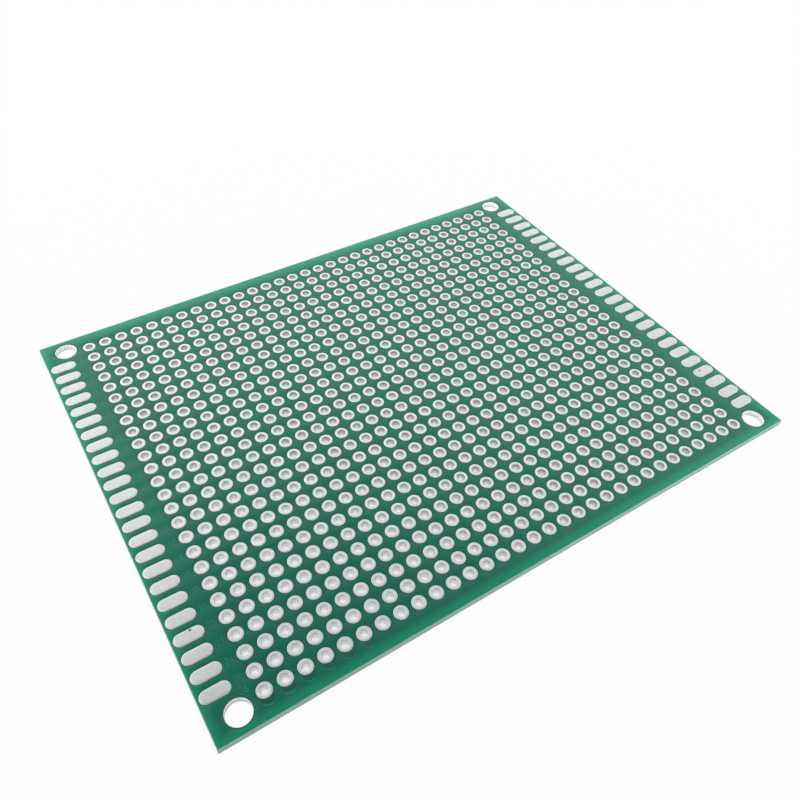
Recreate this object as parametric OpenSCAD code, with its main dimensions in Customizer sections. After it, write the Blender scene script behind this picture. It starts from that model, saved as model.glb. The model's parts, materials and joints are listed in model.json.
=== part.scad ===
// Double-sided prototyping board: a drilled glass-epoxy laminate with a solder mask on both
// faces, a grid of plated lead holes, and a column of long edge pads at each short end.
// The board lies flat. Z = 0 is the plane of its lowest pads, under the middle of the board.

/* [Lead holes] */
// Lead holes in each row, along X
hole_columns = 31; // [4:1:60]
// Rows of lead holes, along Y
hole_rows = 26; // [4:1:50]
// Distance between neighbouring lead holes
hole_pitch = 2.54; // [2.3:0.01:5.08]
// Finished bore of a lead hole
lead_hole_diameter = 1; // [0.6:0.05:1.2]
// Diameter of the round pad at each end of a lead hole
pad_diameter = 1.9; // [1.7:0.05:2]
// Metal plated on the wall of a lead hole
barrel_wall = 0.05; // [0.02:0.01:0.1]
// Metal of the pads above the laminate
pad_thickness = 0.05; // [0.04:0.01:0.1]
// Slope that the tin leaves at the mouth of a lead hole, both in depth and in width
lip = 0.08; // [0.02:0.01:0.1]

/* [Laminate] */
// Thickness of the glass-epoxy laminate without its pads and mask
laminate_thickness = 1; // [0.4:0.1:3.2]
// From the middle of the last column of lead holes to the short edge of the board
end_margin = 6.9; // [6.4:0.1:12]
// From the middle of the last row of lead holes to the long edge of the board
side_margin = 3.25; // [2.4:0.05:8]

/* [Mounting holes] */
// Diameter of the four plain mounting holes, which pass an M3 screw
mounting_hole_diameter = 3.2; // [2:0.1:3.6]
// From the middle of a mounting hole to the short edge of the board
mounting_inset_x = 3.5; // [2.5:0.1:4]
// From the middle of a mounting hole to the long edge of the board
mounting_inset_y = 2.5; // [2.1:0.1:3]

/* [Edge pads] */
// Length of an edge pad, along X
edge_pad_length = 3.7; // [2:0.05:4.5]
// Width of an edge pad, along Y
edge_pad_width = 1.7; // [1:0.05:2]
// From the outer end of an edge pad to the short edge of the board
edge_pad_inset = 0.35; // [0.2:0.05:1]

/* [Solder mask] */
// Thickness of the solder mask
mask_thickness = 0.03; // [0.01:0.005:0.04]
// Bare laminate left around each pad
mask_gap = 0.06; // [0.03:0.01:0.1]
// Bare laminate left around each mounting hole
mask_hole_gap = 0.2; // [0.05:0.05:0.3]
// Bare laminate left along the edges of the board
mask_edge_gap = 0.1; // [0.05:0.05:0.5]

/* [Hidden] */
$fn = 48;

// The outline follows the grid of holes and its margins.
grid_length = (hole_columns - 1) * hole_pitch;
grid_width = (hole_rows - 1) * hole_pitch;
board_length = grid_length + 2 * end_margin;
board_width = grid_width + 2 * side_margin;

laminate_bottom = pad_thickness;
laminate_top = laminate_bottom + laminate_thickness;
board_top = laminate_top + pad_thickness;

bore_radius = lead_hole_diameter / 2;
barrel_radius = bore_radius + barrel_wall;
pad_radius = pad_diameter / 2;

mounting_x = board_length / 2 - mounting_inset_x;
mounting_y = board_width / 2 - mounting_inset_y;
edge_pad_x = board_length / 2 - edge_pad_inset - edge_pad_length / 2;

left = -1;
right = 1;

function hole_x(column) = (column - (hole_columns + 1) / 2) * hole_pitch;
function row_y(row) = ((hole_rows + 1) / 2 - row) * hole_pitch;
function row_name(row) = str("plated_holes_row_", row < 10 ? "0" : "", row);

LAMINATE_COLOUR = [0.74, 0.8, 0.68];
MASK_COLOUR = [0.1, 0.45, 0.33];
TIN_COLOUR = [0.85, 0.85, 0.86];

// ---- layouts: children are placed wherever the board repeats them ----

module at_lead_holes() {
    for (row = [1 : hole_rows], column = [1 : hole_columns])
        translate([hole_x(column), row_y(row)]) children();
}

module at_mounting_holes() {
    for (x = [-mounting_x, mounting_x], y = [-mounting_y, mounting_y])
        translate([x, y]) children();
}

// The edge pads stand beside every row but the first and the last,
// whose ends are taken by the mounting holes.
module at_edge_pads(side) {
    for (row = [2 : hole_rows - 1])
        translate([side * edge_pad_x, row_y(row)]) children();
}

// ---- outlines ----

module stadium(length, width) {
    square([length - width, width], center = true);
    for (end = [-1, 1])
        translate([end * (length - width) / 2, 0]) circle(d = width);
}

module mask_outline() {
    difference() {
        square([board_length - 2 * mask_edge_gap, board_width - 2 * mask_edge_gap],
               center = true);
        at_lead_holes() circle(r = pad_radius + mask_gap);
        at_mounting_holes() circle(d = mounting_hole_diameter + 2 * mask_hole_gap);
        for (side = [left, right])
            at_edge_pads(side)
                stadium(edge_pad_length + 2 * mask_gap, edge_pad_width + 2 * mask_gap);
    }
}

// ---- sub-parts ----

// The drilled sheet of glass-epoxy laminate. The barrels of the lead holes line its small holes.
module substrate() {
    color(LAMINATE_COLOUR)
        translate([0, 0, laminate_bottom])
            linear_extrude(laminate_thickness)
                difference() {
                    square([board_length, board_width], center = true);
                    at_lead_holes() circle(r = barrel_radius);
                    at_mounting_holes() circle(d = mounting_hole_diameter);
                }
}

module solder_mask_top() {
    color(MASK_COLOUR)
        translate([0, 0, laminate_top]) linear_extrude(mask_thickness) mask_outline();
}

module solder_mask_bottom() {
    color(MASK_COLOUR)
        translate([0, 0, laminate_bottom - mask_thickness])
            linear_extrude(mask_thickness) mask_outline();
}

// One tinned lead hole: the barrel through the laminate with a pad at each end, like a rivet.
module plated_hole() {
    rotate_extrude()
        polygon([
            [bore_radius, lip],
            [bore_radius + lip, 0],
            [pad_radius, 0],
            [pad_radius, laminate_bottom],
            [barrel_radius, laminate_bottom],
            [barrel_radius, laminate_top],
            [pad_radius, laminate_top],
            [pad_radius, board_top],
            [bore_radius + lip, board_top],
            [bore_radius, board_top - lip]
        ]);
}

// Row 1 is the one furthest towards +Y. Its holes are separate pieces.
module plated_row(row) {
    color(TIN_COLOUR)
        for (column = [1 : hole_columns])
            translate([hole_x(column), row_y(row), 0]) plated_hole();
}

// A column of edge pads on the laminate, standing on the height z.
module edge_pads(side, z) {
    color(TIN_COLOUR)
        translate([0, 0, z])
            at_edge_pads(side)
                linear_extrude(pad_thickness) stadium(edge_pad_length, edge_pad_width);
}

module edge_pads_top_left() {
    edge_pads(left, laminate_top);
}

module edge_pads_top_right() {
    edge_pads(right, laminate_top);
}

module edge_pads_bottom_left() {
    edge_pads(left, 0);
}

module edge_pads_bottom_right() {
    edge_pads(right, 0);
}

substrate();
solder_mask_top();
solder_mask_bottom();
edge_pads_top_left();
edge_pads_top_right();
edge_pads_bottom_left();
edge_pads_bottom_right();
for (row = [1 : hole_rows])
    plated_row(row);
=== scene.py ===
# %% [markdown]
# # A bare prototyping circuit board
#
# The object is a double-sided board of glass-epoxy laminate, 90 by 70 mm, with a green solder mask
# on both faces, a raster of tinned lead holes and a column of long tinned pads at each short end.
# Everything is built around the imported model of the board: that model holds the true sizes, and
# this script gives the same pieces their rounded edges, their small unevenness and their finish.

# %% Load the frame
import json
import math
import random

import bpy
from mathutils import Matrix, Vector
from mathutils.geometry import delaunay_2d_cdt


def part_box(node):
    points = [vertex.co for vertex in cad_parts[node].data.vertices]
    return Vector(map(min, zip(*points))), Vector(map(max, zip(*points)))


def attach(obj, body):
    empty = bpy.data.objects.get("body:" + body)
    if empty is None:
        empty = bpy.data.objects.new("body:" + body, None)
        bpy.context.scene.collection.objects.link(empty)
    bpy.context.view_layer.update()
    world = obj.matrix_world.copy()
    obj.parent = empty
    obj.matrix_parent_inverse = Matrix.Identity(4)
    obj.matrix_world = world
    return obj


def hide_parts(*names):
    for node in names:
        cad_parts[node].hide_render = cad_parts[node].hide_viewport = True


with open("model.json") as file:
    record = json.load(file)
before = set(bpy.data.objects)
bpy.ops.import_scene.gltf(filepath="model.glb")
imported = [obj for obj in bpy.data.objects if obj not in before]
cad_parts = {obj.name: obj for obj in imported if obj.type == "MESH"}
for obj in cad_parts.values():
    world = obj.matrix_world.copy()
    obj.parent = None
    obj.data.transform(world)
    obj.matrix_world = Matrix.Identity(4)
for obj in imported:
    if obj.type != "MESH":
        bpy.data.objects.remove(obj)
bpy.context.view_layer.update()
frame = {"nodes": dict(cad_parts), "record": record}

print("nodes in the frame:", len(frame["nodes"]))

# %% [markdown]
# ## Sizes
#
# Nothing is measured by eye here. The box of a row of lead holes gives the pad's radius, and where
# its first and last holes are; two rows give the pitch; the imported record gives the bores. Only
# what is too fine for a box is named as a value of its own, such as the gap that the mask keeps
# round a pad.

# %% Read the sizes
MM = 0.001
row_names = sorted(name for name in frame["nodes"] if name.startswith("plated_holes_row_"))
row_boxes = [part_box(name) for name in row_names]
row_ys = [(low.y + high.y) / 2 for low, high in row_boxes]
pitch = row_ys[0] - row_ys[1]

first_low, first_high = row_boxes[0]
pad_radius = (first_high.y - first_low.y) / 2
first_x = first_low.x + pad_radius
columns = round((first_high.x - pad_radius - first_x) / pitch) + 1
column_xs = [first_x + column * pitch for column in range(columns)]

laminate_low, laminate_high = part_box("substrate")
mask_low, mask_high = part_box("solder_mask_top")
half_length = laminate_high.x
half_width = laminate_high.y
board_top = first_high.z

mounts = {mount["name"]: mount for mount in frame["record"]["mounts"]}
bore_radius = mounts["lead_hole_first"]["dims"]["r_mm"] * MM
screw_mounts = [mounts[name] for name in sorted(mounts) if name.startswith("mounting_hole_")]
screw_places = [Vector(mount["pos_m"][:2]) for mount in screw_mounts]
screw_radius = screw_mounts[0]["dims"]["r_mm"] * MM

MASK_GAP = 0.06 * MM
MASK_SCREW_GAP = 0.2 * MM
BARREL_WALL = 0.05 * MM

print(f"{len(row_names)} rows of {columns} lead holes, pitch {pitch / MM:.2f} mm")
print(f"pads {2 * pad_radius / MM:.2f} mm, bores {2 * bore_radius / MM:.2f} mm")

# %% Read the edge pads
edge_low, edge_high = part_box("edge_pads_top_right")
edge_ys = row_ys[1:-1]
edge_pad_length = edge_high.x - edge_low.x
edge_pad_width = edge_high.y - edge_low.y - (edge_ys[0] - edge_ys[-1])
edge_pad_x = (edge_low.x + edge_high.x) / 2

print(f"{len(edge_ys)} edge pads, {edge_pad_length / MM:.2f} by {edge_pad_width / MM:.2f} mm")

# %% [markdown]
# ## Meshes from points
#
# Every piece here is a list of points and a list of faces, which Blender turns into a mesh in one
# call. That is far faster than adding 806 objects, and each piece stays one closed mesh. Faces on
# rounded stretches are smooth, and an edge sharper than a given angle stays crisp.


# %% A piece from points and faces
def make_piece(name, points, faces, sharp_degrees=40):
    mesh = bpy.data.meshes.new(name)
    mesh.from_pydata(points, [], faces)
    mesh.validate()
    mesh.polygons.foreach_set("use_smooth", [True] * len(mesh.polygons))
    mesh.set_sharp_from_angle(angle=math.radians(sharp_degrees))
    piece = bpy.data.objects.new(name, mesh)
    bpy.context.collection.objects.link(piece)
    print(f"{name}: {sum(len(face) - 2 for face in faces)} triangles")
    return piece


def loop_faces(lower, upper, count):
    """The quads between two loops of count points that start at the indices lower and upper."""
    faces = []
    for i in range(count):
        after = (i + 1) % count
        faces.append((lower + i, lower + after, upper + after, upper + i))
    return faces


# %% [markdown]
# ## Outlines
#
# The openings are circles round the lead holes and stadiums, two half circles joined by straight
# sides, round the edge pads. One function gives both, because a circle is a stadium of no length.

# %% Circles and stadiums
HOLE_STEPS = 24
PAD_STEPS = 24
SCREW_STEPS = 64


def stadium(centre, half_straight, radius, steps):
    """Points anticlockwise round a stadium that lies along X."""
    points = []
    for end in (1, -1):
        for i in range(steps // 2 + 1):
            angle = math.pi * (i / (steps // 2) - 0.5)
            x = centre[0] + end * (half_straight + radius * math.cos(angle))
            points.append((x, centre[1] + end * radius * math.sin(angle)))
    return points


def circle(centre, radius, steps):
    """Points anticlockwise round a circle."""
    turn = 2 * math.pi / steps
    return [(centre[0] + radius * math.cos(turn * i), centre[1] + radius * math.sin(turn * i))
            for i in range(steps)]


def rectangle(half_x, half_y, step):
    """Points anticlockwise round a rectangle, at most a step apart."""
    corners = [(half_x, -half_y), (half_x, half_y), (-half_x, half_y), (-half_x, -half_y)]
    points = []
    for start, end in zip(corners, corners[1:] + corners[:1]):
        count = math.ceil(math.dist(start, end) / step)
        for i in range(count):
            share = i / count
            points.append((start[0] + (end[0] - start[0]) * share,
                           start[1] + (end[1] - start[1]) * share))
    return points


edge_half_straight = (edge_pad_length - edge_pad_width) / 2
lead_places = [(x, y) for y in row_ys for x in column_xs]
edge_places = [(side * edge_pad_x, y) for side in (-1, 1) for y in edge_ys]
print(f"{len(lead_places)} lead holes and {len(edge_places)} edge pads on each face")

# %% [markdown]
# ## A sheet with openings
#
# Both the laminate and its solder mask are flat sheets with hundreds of openings. A boolean for
# each opening would be slow and would leave poor faces. Instead the face between the outlines is
# filled with one constrained Delaunay triangulation, and each outline is joined to the one below
# it by a wall. The filling works on numbers near one, so it is given millimetres.

# %% Fill between outlines
FILL_WITH_HOLES = 2
SAME_POINT = 1e-5


def fill_between(outlines):
    """The triangles that lie inside the first outline and outside all the others."""
    points = []
    rings = []
    for outline in outlines:
        rings.append(list(range(len(points), len(points) + len(outline))))
        points += [Vector((x / MM, y / MM)) for x, y in outline]
    found = delaunay_2d_cdt(points, [], rings, FILL_WITH_HOLES, SAME_POINT)
    filled, point_sources = found[2], found[3]
    source_of = {index: sources[-1] for index, sources in enumerate(point_sources) if sources}
    return [tuple(source_of[corner] for corner in face) for face in filled]


# %% [markdown]
# An outline may be given as several loops that step down from the face, which makes a rounded lip.
# The sheet then has one wall between each loop and the next, all round.


# %% Wall a sheet
def sheet(name, borders, z_face, z_back, sharp_degrees=40):
    """A flat sheet. Each border is a list of loops of (x, y, z): the first loop lies on the face
    and the last on the back. The first border is the outside, and the others are openings."""
    face_outlines = [[(x, y) for x, y, _ in loops[0]] for loops in borders]
    back_outlines = [[(x, y) for x, y, _ in loops[-1]] for loops in borders]
    points = []
    starts = []
    for loops in borders:
        starts.append([])
        for loop in loops:
            starts[-1].append(len(points))
            points += loop
    face_index = []
    back_index = []
    for loop_starts, loops in zip(starts, borders):
        face_index += range(loop_starts[0], loop_starts[0] + len(loops[0]))
        back_index += range(loop_starts[-1], loop_starts[-1] + len(loops[-1]))
    upward = z_face > z_back
    faces = []
    for outlines, index, up in ((face_outlines, face_index, upward),
                                (back_outlines, back_index, not upward)):
        for triangle in fill_between(outlines):
            a, b, c = (index[corner] for corner in triangle)
            (ax, ay, _), (bx, by, _), (cx, cy, _) = points[a], points[b], points[c]
            anticlockwise = (bx - ax) * (cy - ay) - (by - ay) * (cx - ax) > 0
            faces.append((a, b, c) if anticlockwise == up else (c, b, a))
    for border, (loop_starts, loops) in enumerate(zip(starts, borders)):
        outward = (border == 0) == upward
        for upper, lower in zip(loop_starts, loop_starts[1:]):
            pair = (lower, upper) if outward else (upper, lower)
            faces += loop_faces(*pair, len(loops[0]))
    return make_piece(name, points, faces, sharp_degrees)


def at_height(outline, z):
    """An outline lifted to a height."""
    return [(x, y, z) for x, y in outline]


# %% [markdown]
# ## The laminate
#
# The core is FR-4: plies of woven glass pressed in epoxy, about 1 mm thick. It is cut to size
# with a router or a saw, so its edges aren't quite straight: the glass ends tear out a little and
# the arris is broken. The outline is therefore walked in short steps, each moved in or out by a
# few hundredths of a millimetre, and the wall has a small chamfer above and below. Its drilled
# holes stay true.

# %% The torn outline
EDGE_STEP = 0.7 * MM
EDGE_TEAR = 0.012 * MM
EDGE_BREAK = 0.03 * MM
AT_EDGE = 0.001 * MM

wander = random.Random(7)
outline = rectangle(half_length, half_width, EDGE_STEP)


def torn_outline(inset, tear):
    """The board's outline, drawn in by inset, with each point torn in by up to tear."""
    points = []
    for x, y in outline:
        depth = inset + tear * wander.random()
        points.append((x - math.copysign(depth, x) * (abs(x) > half_length - AT_EDGE),
                       y - math.copysign(depth, y) * (abs(y) > half_width - AT_EDGE)))
    return points


print(f"{len(outline)} points along the edge of the laminate")

# %% Build the laminate
WALL_SHARES = (0, 0.03, 0.22, 0.4, 0.6, 0.78, 0.97, 1)

laminate_thickness = laminate_high.z - laminate_low.z
wall_heights = [laminate_high.z - share * laminate_thickness for share in WALL_SHARES]
laminate_border = []
for height in wall_heights:
    at_face = height in (wall_heights[0], wall_heights[-1])
    torn = torn_outline(EDGE_BREAK if at_face else 0, EDGE_TEAR)
    laminate_border.append(at_height(torn, height))

laminate_borders = [laminate_border]
for place in lead_places:
    hole = circle(place, bore_radius + BARREL_WALL, HOLE_STEPS)
    laminate_borders.append([at_height(hole, laminate_high.z), at_height(hole, laminate_low.z)])
for place in screw_places:
    hole = circle(place, screw_radius, SCREW_STEPS)
    laminate_borders.append([at_height(hole, laminate_high.z), at_height(hole, laminate_low.z)])

laminate = sheet("drilled_laminate", laminate_borders, laminate_high.z, laminate_low.z,
                 sharp_degrees=30)
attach(laminate, "root")
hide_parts("substrate")

# %% [markdown]
# ## The solder mask
#
# The mask is a liquid film, printed or sprayed on and cured. It flows, so it doesn't end in a
# square step at a pad: it thins out to a rounded lip. Three loops round each opening make that
# lip. Only the upper film gets it, because the lower one is seen through the holes at most, and
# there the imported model's own film is kept and given the same finish.

# %% Build the upper mask
LIP_WIDTH = 0.045 * MM
LIP_DROP = 0.008 * MM
LIP_KNEE = 0.25
MASK_EDGE_STEP = 3 * MM

mask_face = mask_high.z
mask_foot = mask_low.z


def mask_opening(make_outline):
    """The three loops of an opening, where make_outline gives the outline grown by a width."""
    return [at_height(make_outline(LIP_WIDTH), mask_face),
            at_height(make_outline(LIP_WIDTH * LIP_KNEE), mask_face - LIP_DROP),
            at_height(make_outline(0), mask_foot)]


mask_borders = [mask_opening(
    lambda grow: rectangle(mask_high.x - grow, mask_high.y - grow, MASK_EDGE_STEP))]
for place in lead_places:
    mask_borders.append(mask_opening(
        lambda grow: circle(place, pad_radius + MASK_GAP + grow, HOLE_STEPS)))
for place in edge_places:
    mask_borders.append(mask_opening(
        lambda grow: stadium(place, edge_half_straight, edge_pad_width / 2 + MASK_GAP + grow,
                             PAD_STEPS)))
for place in screw_places:
    mask_borders.append(mask_opening(
        lambda grow: circle(place, screw_radius + MASK_SCREW_GAP + grow, SCREW_STEPS)))

upper_mask = sheet("upper_solder_mask", mask_borders, mask_face, mask_foot, sharp_degrees=20)
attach(upper_mask, "root")
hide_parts("solder_mask_top")

# %% [markdown]
# ## The tinned lead holes
#
# Each hole is a copper barrel with a pad at both ends. The board was dipped in molten tin and
# blown off with hot air, which leaves a meniscus: the tin bulges between the pad's rim and the
# mouth of the bore, and rolls over into the bore. Some of it runs down, so the bore is a little
# narrower below. That section is drawn once, as two quarter ellipses and a barrel that tapers
# and flares at its foot, and turned round the hole's axis. No two holes are tinned alike, so each
# one's bulge is a little higher on one side, with a wider or narrower mouth.

# %% The section of a lead hole
RIM_WIDTH = 0.055 * MM
RING_DIP = 0.008 * MM
MOUTH_WIDTH = 0.07 * MM
MOUTH_DEPTH = 0.09 * MM
BORE_TIN = 0.012 * MM
NARROWING = 0.08 * MM
FOOT_OF_BORE = ((-NARROWING, 0.14 * MM), (0.1 * MM, 0.02 * MM), (0.28 * MM, 0))
QUARTER = (0, 30, 60, 90)


def tin_section(mouth):
    """Half the section of a lead hole as (radius, height, looseness): looseness is how far the
    tin there follows the tilt of the meniscus. mouth is the radius that the bore has."""
    swell = board_top - laminate_high.z
    section = []
    for degrees in QUARTER:
        angle = math.radians(degrees)
        radius = pad_radius - RIM_WIDTH * (1 - math.cos(angle))
        section.append((radius, laminate_high.z + swell * math.sin(angle), math.sin(angle)))
    for degrees in QUARTER:
        angle = math.radians(degrees)
        radius = mouth + MOUTH_WIDTH * (1 - math.sin(angle))
        height = board_top - RING_DIP - (MOUTH_DEPTH - RING_DIP) * (1 - math.cos(angle))
        section.append((radius, height, math.cos(angle)))
    for widening, height in FOOT_OF_BORE:
        section.append((mouth + widening, height, 0))
    section.append((pad_radius, laminate_low.z, 0))
    section.append((bore_radius + BARREL_WALL, laminate_low.z, 0))
    section.append((bore_radius + BARREL_WALL, laminate_high.z, 0))
    return section


print("points in the section of a lead hole:", len(tin_section(bore_radius)))

# %% Turn the section round each hole
TILT_MOST = 0.009 * MM
MOUTH_SPREAD = 0.012 * MM

tinning = random.Random(21)


def add_lead_hole(points, faces, x, y):
    """Adds one tinned lead hole, the section turned round its axis."""
    section = tin_section(bore_radius - BORE_TIN + tinning.uniform(-1, 1) * MOUTH_SPREAD)
    tilt = tinning.random() * TILT_MOST
    tilt_towards = tinning.random() * 2 * math.pi
    first = len(points)
    for radius, height, looseness in section:
        for i in range(HOLE_STEPS):
            angle = 2 * math.pi * i / HOLE_STEPS
            lift = tilt * looseness * (math.cos(angle - tilt_towards) - 1)
            points.append((x + radius * math.cos(angle), y + radius * math.sin(angle), height + lift))
    for ring in range(len(section)):
        after = (ring + 1) % len(section)
        faces += loop_faces(first + ring * HOLE_STEPS, first + after * HOLE_STEPS, HOLE_STEPS)


plated_rows = []
for name, y in zip(row_names, row_ys):
    points = []
    faces = []
    for x in column_xs:
        add_lead_hole(points, faces, x, y)
    row = make_piece(name.replace("plated_holes", "tinned_holes"), points, faces, sharp_degrees=45)
    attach(row, "root")
    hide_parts(name)
    plated_rows.append(row)

# %% [markdown]
# ## The edge pads
#
# The long pads at the short ends have no hole, so their tin lies almost flat: it only rounds off
# at the rim and is slightly crowned along the middle. Loops of the same stadium, each drawn in
# and raised a little more, make that crown, and the last loop is closed by one flat face.

# %% Build the edge pads
CROWN = ((0, 0), (0.03, 0.6), (0.11, 0.9), (0.3, 0.97), (0.6, 1))


def edge_pads(name, node, side, z_foot, z_crown):
    """A column of edge pads whose tin swells from z_foot to z_crown. CROWN has, for each loop, how
    many millimetres it is drawn in and its share of the rise."""
    points = []
    faces = []
    for y in edge_ys:
        first = len(points)
        for inset, rise in CROWN:
            loop = stadium((side * edge_pad_x, y), edge_half_straight,
                           edge_pad_width / 2 - inset * MM, PAD_STEPS)
            points += at_height(loop, z_foot + (z_crown - z_foot) * rise)
        count = len(loop)
        starts = [first + ring * count for ring in range(len(CROWN))]
        pad_faces = [tuple(reversed(range(first, first + count)))]
        for lower, upper in zip(starts, starts[1:]):
            pad_faces += loop_faces(lower, upper, count)
        pad_faces.append(tuple(range(starts[-1], starts[-1] + count)))
        if z_crown < z_foot:
            pad_faces = [tuple(reversed(face)) for face in pad_faces]
        faces += pad_faces
    pads = make_piece(name, points, faces, sharp_degrees=50)
    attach(pads, "root")
    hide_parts(node)
    return pads


tinned_edge_pads = []
for side, side_name in ((-1, "left"), (1, "right")):
    tinned_edge_pads.append(edge_pads(f"tinned_edge_pads_top_{side_name}",
                                      f"edge_pads_top_{side_name}", side,
                                      laminate_high.z, board_top))
    tinned_edge_pads.append(edge_pads(f"tinned_edge_pads_bottom_{side_name}",
                                      f"edge_pads_bottom_{side_name}", side,
                                      laminate_low.z, 0))

# %% [markdown]
# ## Index numbers
#
# Such a board has a small index beside each row, etched in the copper under the mask, so it shows
# only as a faint relief. Plain numbers serve here. Each figure is drawn with one stroke on a grid
# two wide and four high. The strokes are round curves, pressed to a third of their height and half
# sunk in the mask.

# %% Draw the figures
FIGURES = {
    "0": [(0, 1), (0, 3), (1, 4), (2, 3), (2, 1), (1, 0), (0, 1)],
    "1": [(0.3, 3), (1.2, 4), (1.2, 0)],
    "2": [(0, 3.2), (1, 4), (2, 3), (0, 0), (2, 0)],
    "3": [(0, 4), (2, 4), (1, 2.4), (2, 1.2), (1, 0), (0, 0.6)],
    "4": [(1.5, 0), (1.5, 4), (0, 1.2), (2, 1.2)],
    "5": [(2, 4), (0, 4), (0, 2.3), (1.4, 2.4), (2, 1.2), (1.2, 0), (0, 0.4)],
    "6": [(1.8, 4), (0, 1.6), (0.4, 0.2), (1.4, 0), (2, 1), (1.4, 2), (0.3, 1.8)],
    "7": [(0, 4), (2, 4), (0.7, 0)],
    "8": [(1, 2.1), (0, 3.1), (1, 4), (2, 3.1), (1, 2.1), (0, 1), (1, 0), (2, 1), (1, 2.1)],
    "9": [(1.7, 2.2), (0.6, 2), (0, 3), (0.6, 4), (1.6, 3.8), (2, 2.4), (0.2, 0)],
}
GRID_WIDTH = 2
GRID_HEIGHT = 4
FIGURE_HEIGHT = 0.95 * MM
FIGURE_WIDTH = 0.36 * MM
FIGURE_ADVANCE = 0.52 * MM


def draw_number(curve, number, centre_x, centre_y):
    """Adds the strokes of a number, centred on a point of the board."""
    figures = str(number)
    left = centre_x - (FIGURE_ADVANCE * (len(figures) - 1) + FIGURE_WIDTH) / 2
    for place, figure in enumerate(figures):
        stroke = FIGURES[figure]
        spline = curve.splines.new("POLY")
        spline.points.add(len(stroke) - 1)
        for point, (u, v) in zip(spline.points, stroke):
            x = left + place * FIGURE_ADVANCE + u / GRID_WIDTH * FIGURE_WIDTH
            y = centre_y + (v / GRID_HEIGHT - 0.5) * FIGURE_HEIGHT
            point.co = (x, y, 0, 1)


print(f"{len(FIGURES)} figures of {FIGURE_HEIGHT / MM:.2f} mm")

# %% Set a number beside each row
STROKE_RADIUS = 0.05 * MM
STROKE_FLATTEN = 0.3
INDEX_LIMIT = row_ys[0] - 1.25 * MM

index_x = (column_xs[0] - pad_radius - edge_pad_x + edge_pad_length / 2) / 2
index_curve = bpy.data.curves.new("index_strokes", "CURVE")
index_curve.dimensions = "3D"
index_curve.bevel_depth = STROKE_RADIUS
index_curve.bevel_resolution = 1
index_curve.use_fill_caps = True
for row, y in enumerate(row_ys, start=1):
    draw_number(index_curve, row, index_x, max(-INDEX_LIMIT, min(INDEX_LIMIT, y)))
strokes = bpy.data.objects.new("index_strokes", index_curve)
index_mesh = bpy.data.meshes.new_from_object(strokes)
flatten = Matrix.Scale(STROKE_FLATTEN, 4, (0, 0, 1))
index_mesh.transform(Matrix.Translation((0, 0, mask_face)) @ flatten)
bpy.data.objects.remove(strokes)
index_numbers = bpy.data.objects.new("index_numbers", index_mesh)
bpy.context.collection.objects.link(index_numbers)
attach(index_numbers, "root")
print(f"{len(row_ys)} index numbers at x = {index_x / MM:.2f} mm")

# %% [markdown]
# ## Materials
#
# Colours are written as sRGB hex values, as they would be picked from a swatch, and one function
# makes them linear for the shader. One more function adds a node with its settings and links, so
# that a chain of nodes reads like a sum.


# %% Colour and node helpers
def colour(hex_value):
    """A linear RGBA colour from an sRGB hex value such as "1e6c57"."""
    channels = [int(hex_value[i:i + 2], 16) / 255 for i in (0, 2, 4)]
    linear = [c / 12.92 if c <= 0.04045 else ((c + 0.055) / 1.055) ** 2.4 for c in channels]
    return (*linear, 1)


def add_node(tree, kind, *values, **settings):
    """Adds a node. Values go to its inputs in order, and a setting to its property or input of
    that name. A value that is a node or an output is linked, any other is set."""
    node = tree.nodes.new("ShaderNode" + kind)
    for name in [name for name in settings if hasattr(node, name)]:
        setattr(node, name, settings.pop(name))
    inputs = [socket for socket in node.inputs if socket.enabled]
    given = list(zip(inputs, values))
    for name, value in settings.items():
        label = name.replace("_", " ")
        given.append((next(socket for socket in inputs if socket.name == label), value))
    for socket, value in given:
        if isinstance(value, bpy.types.Node):
            value = next(output for output in value.outputs if output.enabled)
        if isinstance(value, bpy.types.NodeSocket):
            tree.links.new(value, socket)
        else:
            socket.default_value = value
    return node


def start_material(name):
    """An empty material with its node tree and the place on the board, in metres."""
    material = bpy.data.materials.new(name)
    material.use_nodes = True
    material.node_tree.nodes.clear()
    place = add_node(material.node_tree, "TexCoord").outputs["Object"]
    return material, material.node_tree, place


def per_mm(size):
    """The scale of a texture whose features are size millimetres, for coordinates in metres."""
    return 1 / (size * MM)


# %% [markdown]
# ### Where on the board
#
# The finishes need to know where they are: how far past the raster of pads, how near the sawn
# edge, how near a mounting hole, and how far from the middle of the nearest lead hole. All of it
# is worked out from the position on the board, so it stays put from every side.


# %% Measures of place
def past(tree, value, limit, shift=0.0):
    """How far a coordinate is past a limit on either side, once it is moved by shift."""
    moved = add_node(tree, "Math", value, shift, operation="ADD")
    size = add_node(tree, "Math", moved, operation="ABSOLUTE")
    return add_node(tree, "Math", size, limit, operation="SUBTRACT")


def screw_distance(tree, x, y):
    """The distance in metres from the middle of the nearest mounting hole."""
    corner = screw_places[0]
    apart = add_node(tree, "CombineXYZ", past(tree, x, abs(corner.x)), past(tree, y, abs(corner.y)))
    return add_node(tree, "VectorMath", apart, operation="LENGTH")


def raster_offset(tree, x, y, shift_y=0.0):
    """The vector in metres from the nearest lead hole, once all are moved by shift_y."""
    offsets = []
    for value, start, count in ((x, column_xs[0], columns), (y, row_ys[-1] + shift_y, len(row_ys))):
        along = add_node(tree, "Math", value, start, operation="SUBTRACT")
        nearest = add_node(tree, "Math", along, pitch, operation="DIVIDE")
        nearest = add_node(tree, "Math", nearest, operation="ROUND")
        nearest = add_node(tree, "Clamp", nearest, 0.0, count - 1)
        offsets.append(add_node(tree, "Math", nearest, -pitch, along, operation="MULTIPLY_ADD"))
    return add_node(tree, "CombineXYZ", *offsets)


def raster_distance(tree, x, y):
    """The distance in metres from the middle of the nearest lead hole."""
    return add_node(tree, "VectorMath", raster_offset(tree, x, y), operation="LENGTH")


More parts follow.
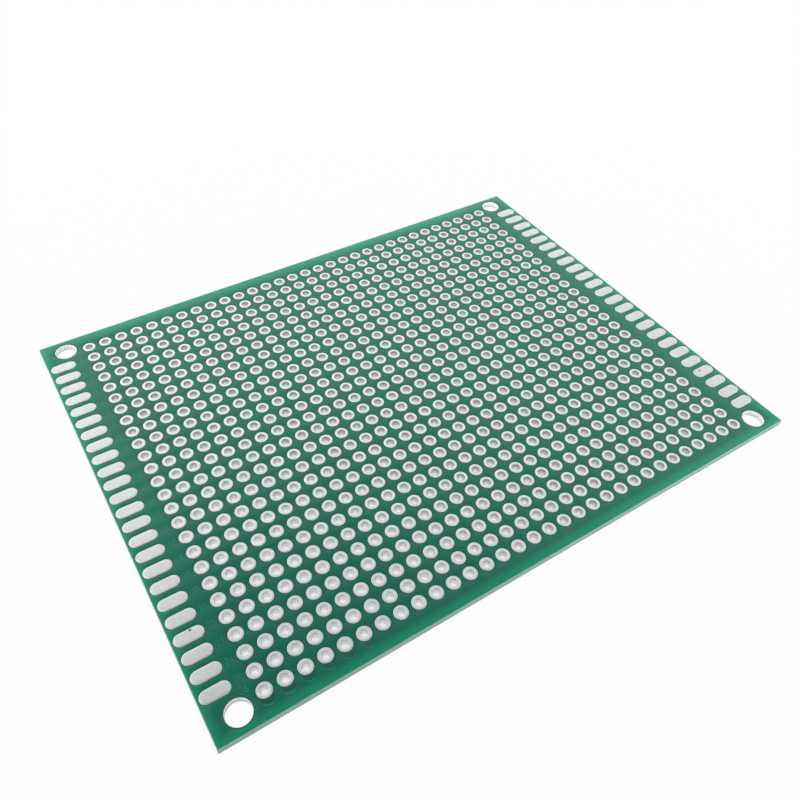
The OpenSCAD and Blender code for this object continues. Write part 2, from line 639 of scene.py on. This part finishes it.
# %% [markdown]
# ### Solder mask
#
# A green epoxy lacquer, about 0.03 mm thick, cured to a gloss. The laminate below is translucent,
# and light comes through it from the edge and from below. That light is painted into the film: it is
# painted lighter over the free margins and most at the edge, and darker between the pads, whose
# copper keeps that light out.

# %% Green of the film, with painted light
# The base green is the film where the pads shade it; the margin and edge greens are painted light
# coming through the laminate.
MASK_GREEN = colour("1b725c")
MASK_MARGIN_LIT_GREEN = colour("1b8a6b")
MASK_EDGE_LIT_GREEN = colour("259a77")
MARGIN_SHIFT = 0.45 * MM
MARGIN_LIGHT_RISE = (1.1 * MM, 2.4 * MM)
STRIP_LIGHT_RISE = (0.8 * MM, 1.6 * MM)
STRIP_LIGHT_SHARE = 0.2
EDGE_LIGHT_RISE = (-1.5 * MM, -0.1 * MM)


def film_green(tree, x, y):
    """The film's green with painted light: deep between the pads, lighter over the margins and most
    at the edge.
    """
    past_rows = past(tree, y, row_ys[0], MARGIN_SHIFT)
    margin = add_node(tree, "MapRange", past_rows, *MARGIN_LIGHT_RISE, interpolation_type="SMOOTHSTEP")
    past_columns = past(tree, x, column_xs[-1])
    strip = add_node(tree, "MapRange", past_columns, *STRIP_LIGHT_RISE, 0.0, STRIP_LIGHT_SHARE)
    free = add_node(tree, "Math", margin, strip, operation="MAXIMUM")
    green = add_node(tree, "Mix", free, MASK_GREEN, MASK_MARGIN_LIT_GREEN, data_type="RGBA")
    from_edge = add_node(tree, "Math", past(tree, x, half_length), past(tree, y, half_width),
                         operation="MAXIMUM")
    near_edge = add_node(tree, "MapRange", from_edge, *EDGE_LIGHT_RISE)
    return add_node(tree, "Mix", near_edge, green, MASK_EDGE_LIT_GREEN, data_type="RGBA")


# %% [markdown]
# The pads of the lower face show through the front margin, and shade the laminate, as soft dark
# discs in front of the last row, clearest at the left. Both are painted: a disc is painted shade, a
# shaded circle round a raster that is moved forward, and it has a thin painted glint of light on
# its near left side.

# %% Lower pads that show through, as painted shade and a painted glint
MASK_SHADE_GREEN = colour("123d33")
# the paler green of the film over a raised trace, used also for painted glints and highlights
MASK_RAISED_AND_LIT_GREEN = colour("3aa185")
SHOW_THROUGH = 0.75 * MM
DISC_FALL = (0.75 * MM, 1.0 * MM)
DISC_SHADE_SHARE = 0.5
FADING_COLUMNS = 8
DISC_TOP = 0.7 * MM
DISC_END = (0.9 * MM, 1.3 * MM)
GLINT_RADIUS = 1.03 * MM
GLINT_SPREAD = 0.05 * MM
GLINT_NEAR = (-0.85 * MM, -0.5 * MM)
GLINT_LEFT = (0.1 * MM, 0.7 * MM)


def add_lower_pads(tree, x, y, green):
    """The film's green with the painted shade and glint of the lower pads in front of the last row.
    """
    offset = raster_offset(tree, x, y, -SHOW_THROUGH)
    disc = add_node(tree, "VectorMath", offset, operation="LENGTH")
    faded = add_node(tree, "MapRange", x, column_xs[0], column_xs[FADING_COLUMNS], 1.0, 0.0)
    below = add_node(tree, "Math", y, row_ys[-1] - DISC_TOP, operation="LESS_THAN")
    within = add_node(tree, "MapRange", past(tree, x, column_xs[-1]), *DISC_END, 1.0, 0.0)
    share = add_node(tree, "MapRange", disc, *DISC_FALL, DISC_SHADE_SHARE, 0.0,
                     interpolation_type="SMOOTHSTEP")
    for part in (faded, below, within):
        share = add_node(tree, "Math", share, part, operation="MULTIPLY")
    # painted shade: the dark disc of each lower pad
    green = add_node(tree, "Mix", share, green, MASK_SHADE_GREEN, data_type="RGBA")

    # painted light: a thin paler glint on each disc's near left side
    around = add_node(tree, "SeparateXYZ", offset)
    near = add_node(tree, "MapRange", around.outputs["Y"], *GLINT_NEAR, 1.0, 0.0)
    left = add_node(tree, "MapRange", around.outputs["X"], *GLINT_LEFT, 1.0, 0.0)
    share = add_node(tree, "Math", disc, GLINT_RADIUS, GLINT_SPREAD, operation="COMPARE")
    for part in (faded, below, near, left):
        share = add_node(tree, "Math", share, part, operation="MULTIPLY")
    return add_node(tree, "Mix", share, green, MASK_RAISED_AND_LIT_GREEN, data_type="RGBA")


# %% [markdown]
# Around each pad the film dips to the laminate, and a thin dark line of painted shade follows it. A
# thin painted highlight runs round each mounting hole, and the film is a little thicker, hence
# paler, over a raised trace.

# %% Painted rim shade and bead highlights of the film
RIM_SHADE_END = 0.2 * MM
RIM_SHADE_SHARE = 0.2
BEAD_HIGHLIGHT_PLACE = 0.36 * MM
BEAD_HIGHLIGHT_SPREAD = 0.05 * MM
BEAD_HIGHLIGHT_SHARE = 0.3


def add_rims(tree, x, y, green, raised):
    """The film's green with the painted shade of its rims and the painted highlights of its beads,
    and paler all over by the share raised.
    """
    # painted shade: a thin dark line round each pad
    rim = add_node(tree, "MapRange", raster_distance(tree, x, y), pad_radius + MASK_GAP,
                   pad_radius + RIM_SHADE_END, RIM_SHADE_SHARE, 0.0)
    green = add_node(tree, "Mix", rim, green, MASK_SHADE_GREEN, data_type="RGBA")
    # painted highlight: a thin pale line round each mounting hole
    bead = add_node(tree, "Math", screw_distance(tree, x, y), screw_radius + BEAD_HIGHLIGHT_PLACE, BEAD_HIGHLIGHT_SPREAD,
                    operation="COMPARE")
    bead = add_node(tree, "Math", bead, BEAD_HIGHLIGHT_SHARE, operation="MULTIPLY")
    paler = add_node(tree, "Math", bead, raised, operation="MAXIMUM")
    return add_node(tree, "Mix", paler, green, MASK_RAISED_AND_LIT_GREEN, data_type="RGBA")


# %% [markdown]
# Cured lacquer mirrors its surroundings a little blurred, so its roughness is about 0.23, with an
# IOR of 1.4. Faint clouds some millimetres wide and a fine orange peel keep it from looking like
# a sheet of plastic. Nearly all of a noise lies between two values round its middle, so these are
# the ones that get stretched to the wanted range.

# %% Solder mask material
NOISE_SPAN = (0.3, 0.7)
NOISE_MIDDLE = (0.35, 0.65)
CLOUD_WIDTH = 6
CLOUD_LIGHT = (0.95, 1.05)
PEEL_WIDTH = 0.5
PEEL_DEPTH = 0.02 * MM
PEEL_STRENGTH = 0.06
MASK_ROUGHNESS = (0.2, 0.26)
MASK_IOR = 1.4


def make_mask_material(name, shows_through=False, raised=0.0):
    """The film, with painted light over its margins. The painted shade and glint of the lower pads
    may show through it, and it may be raised over a trace, which makes it paler by that share."""
    material, tree, place = start_material(name)
    split = add_node(tree, "SeparateXYZ", place)
    x, y = split.outputs["X"], split.outputs["Y"]
    green = film_green(tree, x, y)
    if shows_through:
        green = add_lower_pads(tree, x, y, green)
    green = add_rims(tree, x, y, green, raised)
    cloud = add_node(tree, "TexNoise", place, Scale=per_mm(CLOUD_WIDTH), Detail=3)
    patchy = add_node(tree, "MapRange", cloud, *NOISE_SPAN, *CLOUD_LIGHT)
    green = add_node(tree, "HueSaturation", Color=green, Value=patchy)

    peel = add_node(tree, "TexNoise", place, Scale=per_mm(PEEL_WIDTH), Detail=2)
    roughness = add_node(tree, "MapRange", peel, *NOISE_SPAN, *MASK_ROUGHNESS)
    bump = add_node(tree, "Bump", Strength=PEEL_STRENGTH, Distance=PEEL_DEPTH, Height=peel)
    film = add_node(tree, "BsdfPrincipled", Base_Color=green, Roughness=roughness, IOR=MASK_IOR,
                    Normal=bump)
    add_node(tree, "OutputMaterial", film)
    print(f"{name}: {len(tree.nodes)} nodes")
    return material


# %% Lacquer the board
RAISED_SHARE = 0.55

upper_film = make_mask_material("green_solder_mask", shows_through=True)
lower_film = make_mask_material("green_solder_mask_lower")
upper_mask.data.materials.append(upper_film)
index_mesh.materials.append(make_mask_material("green_solder_mask_raised", raised=RAISED_SHARE))
lower_mask = frame["nodes"]["solder_mask_bottom"]
lower_mask.data.materials.clear()
lower_mask.data.materials.append(lower_film)

# %% [markdown]
# ### Glass-epoxy laminate
#
# Cut FR-4 is pale: the torn glass ends scatter light, so the edges are a milky green-grey, painted
# greener at the top, where light falls in from above, and greyer below. The drilled walls of the
# mounting holes are painted white, painted light that scatters into them through the laminate. The
# plies show as fine lines along the edge, about 0.2 mm apart: the noise is drawn out along the
# board and pressed together in height. The lowest line is darker: the lower film's dark edge, with
# a painted contact shadow. Cut resin is matt, with a roughness of 0.7 and an IOR of 1.5.

# %% Cut edges and drilled walls
CUT_GLASS = colour("a0c8b4")
CUT_GLASS_SHADED = colour("a8bab0")
DRILLED_GLASS_GLOW = colour("ffffff")
LOWER_FILM_AND_SHADOW = colour("4f6660")
DRILLED_REACH = 0.05 * MM
FIBRE_WIDTH = 0.7
FIBRE_STRETCH = (0.15, 0.15, 3.5)
FIBRE_LIGHT = (0.88, 1.06)
LOWER_SHADOW_FALL = (0.04, 0.14)
LOWER_SHADOW_SHARE = 0.8

laminate_material, tree, place = start_material("glass_epoxy_laminate")
split = add_node(tree, "SeparateXYZ", place)
x, y, z = split.outputs["X"], split.outputs["Y"], split.outputs["Z"]
from_screw = screw_distance(tree, x, y)
drilled = add_node(tree, "Math", from_screw, screw_radius + DRILLED_REACH, operation="LESS_THAN")
height = add_node(tree, "MapRange", z, laminate_low.z, laminate_high.z)
# painted light: the cut wall is greener at the top and greyer below
wall = add_node(tree, "Mix", height, CUT_GLASS_SHADED, CUT_GLASS, data_type="RGBA")
# painted light: the walls of the mounting holes are painted white
wall = add_node(tree, "Mix", drilled, wall, DRILLED_GLASS_GLOW, data_type="RGBA")
plies = add_node(tree, "Mapping", place, Scale=FIBRE_STRETCH)
fibres = add_node(tree, "TexNoise", plies, Scale=per_mm(FIBRE_WIDTH), Detail=3)
streak = add_node(tree, "MapRange", fibres, *NOISE_MIDDLE, *FIBRE_LIGHT)
wall = add_node(tree, "HueSaturation", Color=wall, Value=streak)
# the lower film's dark edge and a painted contact shadow along the foot of the wall
arris = add_node(tree, "MapRange", height, *LOWER_SHADOW_FALL, LOWER_SHADOW_SHARE, 0.0)
wall = add_node(tree, "Mix", arris, wall, LOWER_FILM_AND_SHADOW, data_type="RGBA")
print("laminate from", round(laminate_low.z / MM, 3), "to", round(laminate_high.z / MM, 3), "mm")

# %% [markdown]
# The untouched face of the laminate, under the openings of the mask, is clear and looks dark. It
# is painted paler along the sawn edge and in a ring beside each mounting hole, painted light that
# scatters in through the cut laminate. Whether a spot is on a face or on a wall is told by how far
# its normal points up.

# %% Face of the laminate
CLEAR_LAMINATE = colour("1c5c4a")
SCREW_GLOW_RING = colour("2c6a56")
EDGE_GLOW_RISE = (-0.3 * MM, -0.15 * MM)
SCREW_GLOW_REACH = 0.3 * MM
FACE_RISE = (0.3, 0.7)
CUT_DEPTH = 0.02 * MM
CUT_STRENGTH = 0.4
CUT_ROUGHNESS = 0.7
EPOXY_IOR = 1.5

from_edge = add_node(tree, "Math", past(tree, x, half_length), past(tree, y, half_width),
                     operation="MAXIMUM")
# painted light: the face pales towards the sawn edge
halo = add_node(tree, "MapRange", from_edge, *EDGE_GLOW_RISE)
face = add_node(tree, "Mix", halo, CLEAR_LAMINATE, CUT_GLASS, data_type="RGBA")
# painted light: a paler ring beside each mounting hole
beside_screw = add_node(tree, "Math", from_screw, screw_radius + SCREW_GLOW_REACH, operation="LESS_THAN")
face = add_node(tree, "Mix", beside_screw, face, SCREW_GLOW_RING, data_type="RGBA")

facing = add_node(tree, "SeparateXYZ", add_node(tree, "TexCoord").outputs["Normal"])
upright = add_node(tree, "Math", facing.outputs["Z"], operation="ABSOLUTE")
flat = add_node(tree, "MapRange", upright, *FACE_RISE)
skin = add_node(tree, "Mix", flat, wall, face, data_type="RGBA")
bump = add_node(tree, "Bump", Strength=CUT_STRENGTH, Distance=CUT_DEPTH, Height=fibres)
glass = add_node(tree, "BsdfPrincipled", Base_Color=skin, Roughness=CUT_ROUGHNESS, IOR=EPOXY_IOR,
                 Normal=bump)
add_node(tree, "OutputMaterial", glass)
laminate.data.materials.append(laminate_material)
print(f"{laminate_material.name}: {len(tree.nodes)} nodes")

# %% [markdown]
# ### Hot-air-levelled tin
#
# Tin that was dipped and blown level is a soft, silvery metal with a satin skin: bright where it
# faces the light, with blurred reflections and a fine, slightly lumpy grain. It is a bare metal,
# so its colour is its reflection, and the default IOR stays. The bores are painted grey inside,
# painted shade that is deepest just under their mouths and lighter towards the front left corner.
# Near that corner the rings have a faint crease, painted as a thin darker ring of shade.

# %% Painted shade in the bores
TIN_BORE_SHADE = colour("8f8a8c")
BORE_SHADE_END = (bore_radius + 0.03 * MM, bore_radius + 0.15 * MM)
BORE_SHADE_RISE = (board_top - 0.8 * MM, board_top - 0.15 * MM)
FRONT_LEFT_SPAN = (-45 * MM, -20 * MM)
BORE_SHADE_SHARES = (0.05, 0.45)
MOUTH_SHADE_DEPTH = 0.12 * MM
MOUTH_SHADE_SPREAD = 0.1 * MM
MOUTH_SHADE_SHARE = 0.27
CREASE_SHADE_RADIUS = 0.82 * MM
CREASE_SHADE_SPREAD = 0.035 * MM
CREASE_SHADE_SHARES = (0.3, 0.0)


def add_bore_film(tree, place, tin):
    """The tin's colour with painted shade in the bores and in the crease round some rings."""
    split = add_node(tree, "SeparateXYZ", place)
    x, y, z = split.outputs["X"], split.outputs["Y"], split.outputs["Z"]
    from_hole = raster_distance(tree, x, y)
    across = add_node(tree, "Math", x, y, operation="ADD")
    # painted shade: the bores are painted grey inside, most just under their mouths, least towards
    # the front left corner
    inside = add_node(tree, "MapRange", from_hole, *BORE_SHADE_END, 1.0, 0.0)
    high = add_node(tree, "MapRange", z, *BORE_SHADE_RISE)
    lip = add_node(tree, "Math", z, board_top - MOUTH_SHADE_DEPTH, MOUTH_SHADE_SPREAD, operation="COMPARE")
    share = add_node(tree, "MapRange", across, *FRONT_LEFT_SPAN, *BORE_SHADE_SHARES)
    share = add_node(tree, "Math", lip, MOUTH_SHADE_SHARE, share, operation="MULTIPLY_ADD")
    share = add_node(tree, "Math", share, inside, operation="MULTIPLY")
    share = add_node(tree, "Math", share, high, operation="MULTIPLY")
    tin = add_node(tree, "Mix", share, tin, TIN_BORE_SHADE, data_type="RGBA")
    # painted shade of a faint crease round the rings near the front left corner
    crease = add_node(tree, "Math", from_hole, CREASE_SHADE_RADIUS, CREASE_SHADE_SPREAD, operation="COMPARE")
    faint = add_node(tree, "MapRange", across, *FRONT_LEFT_SPAN, *CREASE_SHADE_SHARES)
    share = add_node(tree, "Math", crease, faint, operation="MULTIPLY")
    return add_node(tree, "Mix", share, tin, TIN_BORE_SHADE, data_type="RGBA")


# %% [markdown]
# Two of the edge pads carry a small dark speck of burnt flux. A speck is a spot round a given
# place, whose rim is broken up by a little noise.

# %% Specks of flux
FLUX = colour("4a4644")
SPECK_RADIUS = 0.17 * MM
SPECK_FALL = (SPECK_RADIUS * 1.15, SPECK_RADIUS * 1.7)
SPECK_SHARE = 0.85
SPECK_GRAIN = 0.18


def add_specks(tree, place, tin, specks):
    """The tin's colour with dark specks round the given places."""
    ragged = add_node(tree, "TexNoise", place, Scale=per_mm(SPECK_GRAIN), Detail=2)
    for speck_x, speck_y in specks:
        middle = add_node(tree, "CombineXYZ", speck_x, speck_y, board_top)
        apart = add_node(tree, "VectorMath", place, middle, operation="DISTANCE")
        reach = add_node(tree, "Math", ragged, SPECK_RADIUS, apart, operation="MULTIPLY_ADD")
        spot = add_node(tree, "MapRange", reach, *SPECK_FALL, SPECK_SHARE, 0.0)
        tin = add_node(tree, "Mix", spot, tin, FLUX, data_type="RGBA")
    return tin


# %% [markdown]
# The tin of the holes froze in drops, so it is lumpier than the thin, even tin of the edge pads. It
# is also painted a little brighter: the holes' tin and the edge pads' tin are a lit and a shaded copy
# of the same tin. Both are matt enough, with a roughness of about 0.57, to blur the tent into one
# tone.

# %% Tin material
TIN_GRAIN = 0.45
TIN_PATCH = 1.5
TIN_STRENGTH = 0.4
ROUGHNESS_SPREAD = 0.05


def make_tin_material(name, bright, dull, roughness, lumps, specks=(), bored=False):
    """Tin between two colours, of a mean roughness, with lumps of a depth. It may carry specks at
    given places, or have bores with painted shade."""
    material, tree, place = start_material(name)
    grain = add_node(tree, "TexNoise", place, Scale=per_mm(TIN_GRAIN), Detail=3)
    mottle = add_node(tree, "MapRange", grain, *NOISE_MIDDLE)
    tin = add_node(tree, "Mix", mottle, dull, bright, data_type="RGBA")
    if bored:
        tin = add_bore_film(tree, place, tin)
    if specks:
        tin = add_specks(tree, place, tin, specks)
    patch = add_node(tree, "TexNoise", place, Scale=per_mm(TIN_PATCH), Detail=2)
    satin = add_node(tree, "MapRange", patch, *NOISE_SPAN, roughness - ROUGHNESS_SPREAD,
                     roughness + ROUGHNESS_SPREAD)
    bump = add_node(tree, "Bump", Strength=TIN_STRENGTH, Distance=lumps, Height=grain)
    skin = add_node(tree, "BsdfPrincipled", Base_Color=tin, Metallic=1.0, Roughness=satin,
                    Normal=bump)
    add_node(tree, "OutputMaterial", skin)
    print(f"{name}: {len(tree.nodes)} nodes")
    return material


# %% Tin the holes and the edge pads
TIN_LIT_BRIGHT = colour("f8fbfb")
TIN_LIT_DULL = colour("eff2f2")
# painted shade: the edge pads' tin is a darker copy of the holes' tin
FLAT_SHADED_BRIGHT = colour("edf0f0")
FLAT_SHADED_DULL = colour("e4e7e7")
TIN_ROUGHNESS = 0.57
HOLE_LUMPS = 0.03 * MM
FLAT_LUMPS = 0.006 * MM
SPECKS = ((-42.4 * MM, row_ys[21] + 0.6 * MM), (42.3 * MM, row_ys[21] + 0.35 * MM))

hole_tin = make_tin_material("levelled_tin", TIN_LIT_BRIGHT, TIN_LIT_DULL, TIN_ROUGHNESS, HOLE_LUMPS,
                             bored=True)
for row in plated_rows:
    row.data.materials.append(hole_tin)
pad_tin = make_tin_material("levelled_tin_flat", FLAT_SHADED_BRIGHT, FLAT_SHADED_DULL, TIN_ROUGHNESS, FLAT_LUMPS,
                            specks=SPECKS)
for pads in tinned_edge_pads:
    pads.data.materials.append(pad_tin)

# %% [markdown]
# ## Floor, light and camera
#
# The board lies on a pale sheet in a bright tent. The floor is seen as white by the camera, and
# keeps a share of plain diffuse white, so that the board's shadow still shows. Under the board it
# is in shade: that is how it is seen down the bores, and how their walls mirror it, with a pool of
# light under each hole.

# %% Floor
SHADOW_SHARE = 0.045
POOL_GLOW = 0.8
SHADED_GLOW = 0.55
POOL_FALL = (0.25 * MM, 0.9 * MM)
SHADED_VIEW = 0.72
BOARD_END = (0.9 * MM, 1.2 * MM)
FLOOR_SIZE = 4.0
FLOOR_DROP = 0.02 * MM

bpy.ops.mesh.primitive_plane_add(size=FLOOR_SIZE, location=(0, 0, -FLOOR_DROP))
floor = bpy.context.object
floor.name = "floor"
floor_material = bpy.data.materials.new("pale_sheet")
floor_material.use_nodes = True
tree = floor_material.node_tree
tree.nodes.clear()
path = add_node(tree, "LightPath")
split = add_node(tree, "SeparateXYZ", add_node(tree, "NewGeometry").outputs["Position"])
x, y = split.outputs["X"], split.outputs["Y"]
pool = add_node(tree, "MapRange", raster_distance(tree, x, y), *POOL_FALL, POOL_GLOW, SHADED_GLOW,
                interpolation_type="SMOOTHSTEP")
mirrored = add_node(tree, "Math", path.outputs["Is Glossy Ray"], pool, operation="MULTIPLY")
outside = add_node(tree, "Math", past(tree, x, column_xs[-1]), past(tree, y, row_ys[0]),
                   operation="MAXIMUM")
white = add_node(tree, "MapRange", outside, *BOARD_END, SHADED_VIEW, 1.0)
viewed = add_node(tree, "Math", path.outputs["Is Camera Ray"], white, operation="MULTIPLY")
seen = add_node(tree, "Math", viewed, mirrored, operation="MAXIMUM")
share = add_node(tree, "Math", seen, 1 - SHADOW_SHARE, operation="MULTIPLY")
paper = add_node(tree, "BsdfDiffuse", Color=colour("fcfcfc"))
glow = add_node(tree, "Emission", Color=(1, 1, 1, 1), Strength=1.0)
add_node(tree, "OutputMaterial", add_node(tree, "MixShader", share, paper, glow))
floor.data.materials.append(floor_material)
print(f"a floor of {FLOOR_SIZE} m")

# %% [markdown]
# The tent has two halves. On the camera's side it is bright all the way up. Behind the board its
# walls are bright, but it is open, hence dark, overhead. The lacquer mirrors that opening where it
# is looked down on, and stays deep there, and mirrors the bright walls further back, while the
# matt tin gathers light from both halves. The rear left of the tent is brighter than the front
# right, so the board isn't lit all alike. The camera itself sees plain white.

# %% World
TENT_WALL = 1.2
TENT_OPENING = 0.11
TENT_FRONT = 1.5
OPENING_RISE = (0.7, 0.92)
HALVES_MEET = (-0.15, 0.2)
TENT_HEADING = math.radians(34)
KEY_HEADING = math.radians(-60)
KEY_SPAN = (-0.9, 0.9)
KEY_LIGHT = (0.74, 1.22)


def level_vector(heading):
    """The level direction of a heading, which turns from +Y towards +X."""
    return math.sin(heading), math.cos(heading), 0


world = bpy.data.worlds.new("light_tent")
bpy.context.scene.world = world
world.use_nodes = True
tree = world.node_tree
tree.nodes.clear()
direction = add_node(tree, "TexCoord").outputs["Generated"]
height = add_node(tree, "SeparateXYZ", direction).outputs["Z"]
behind = add_node(tree, "MapRange", height, *OPENING_RISE, TENT_WALL, TENT_OPENING,
                  interpolation_type="SMOOTHSTEP")
away = add_node(tree, "VectorMath", direction, level_vector(TENT_HEADING),
                operation="DOT_PRODUCT")
share = add_node(tree, "MapRange", away, *HALVES_MEET, interpolation_type="SMOOTHSTEP")
tent = add_node(tree, "Mix", share, TENT_FRONT, behind, data_type="FLOAT")
to_key = add_node(tree, "VectorMath", direction, level_vector(KEY_HEADING),
                  operation="DOT_PRODUCT")
lit = add_node(tree, "MapRange", to_key, *KEY_SPAN, *KEY_LIGHT)
tent = add_node(tree, "Math", tent, lit, operation="MULTIPLY")
path = add_node(tree, "LightPath")
strength = add_node(tree, "Math", tent, path.outputs["Is Camera Ray"], operation="MAXIMUM")
sky = add_node(tree, "Background", Color=(1, 1, 1, 1), Strength=strength)
add_node(tree, "OutputWorld", sky)
print(f"tent walls {TENT_WALL}, opening {TENT_OPENING}, front {TENT_FRONT}")

# %% [markdown]
# A dark card beside the near left corner keeps some light off it, as the camera and the hands
# behind it do. The camera doesn't see the card.

# %% Dark card
CARD_PLACE = Vector((-0.05, -0.064, 0.07))
CARD_TARGET = Vector((-0.02, -0.015, 0))
CARD_SIZE = 0.11

bpy.ops.mesh.primitive_plane_add(size=CARD_SIZE, location=CARD_PLACE)
card = bpy.context.object
card.name = "dark_card"
card.rotation_euler = (CARD_TARGET - CARD_PLACE).to_track_quat("Z", "Y").to_euler()
card.visible_camera = False
card_material = bpy.data.materials.new("black_card")
card_material.use_nodes = True
tree = card_material.node_tree
tree.nodes.clear()
black = add_node(tree, "BsdfDiffuse", Color=colour("202020"))
add_node(tree, "OutputMaterial", black)
card.data.materials.append(card_material)
print(f"a card of {CARD_SIZE / MM:.0f} mm, {CARD_PLACE.z / MM:.0f} mm above the floor")

# %% [markdown]
# The camera looks down on the board from its front left corner, quite near and with a wide lens,
# so the board tapers away. It is given by what it aims at, its heading, its height angle, its
# distance and a slight roll.

# %% Camera
AIM = Vector((-2.69 * MM, -2.02 * MM, board_top))
HEADING = math.radians(34.007)
ELEVATION = math.radians(46.970)
ROLL = math.radians(2.641)
DISTANCE = 112.96 * MM
LENS = 33.932
SENSOR_WIDTH = 36
SHIFT = (0.0075, -0.0012)
CLIP_START = 1 * MM
CLIP_END = 20

camera_data = bpy.data.cameras.new("camera")
camera_data.lens = LENS
camera_data.sensor_width = SENSOR_WIDTH
camera_data.shift_x = SHIFT[0]
camera_data.shift_y = SHIFT[1]
camera_data.clip_start = CLIP_START
camera_data.clip_end = CLIP_END
camera = bpy.data.objects.new("camera", camera_data)
looking = Vector((math.sin(HEADING) * math.cos(ELEVATION),
                  math.cos(HEADING) * math.cos(ELEVATION), -math.sin(ELEVATION)))
camera.location = AIM - looking * DISTANCE
turned = looking.to_track_quat("-Z", "Y").to_matrix().to_4x4()
camera.rotation_euler = (turned @ Matrix.Rotation(ROLL, 4, "Z")).to_euler()
bpy.context.collection.objects.link(camera)
bpy.context.scene.camera = camera

bpy.context.scene.view_settings.view_transform = "Standard"
print(f"camera {camera.location.length / MM:.0f} mm from the middle of the board, lens {LENS} mm")
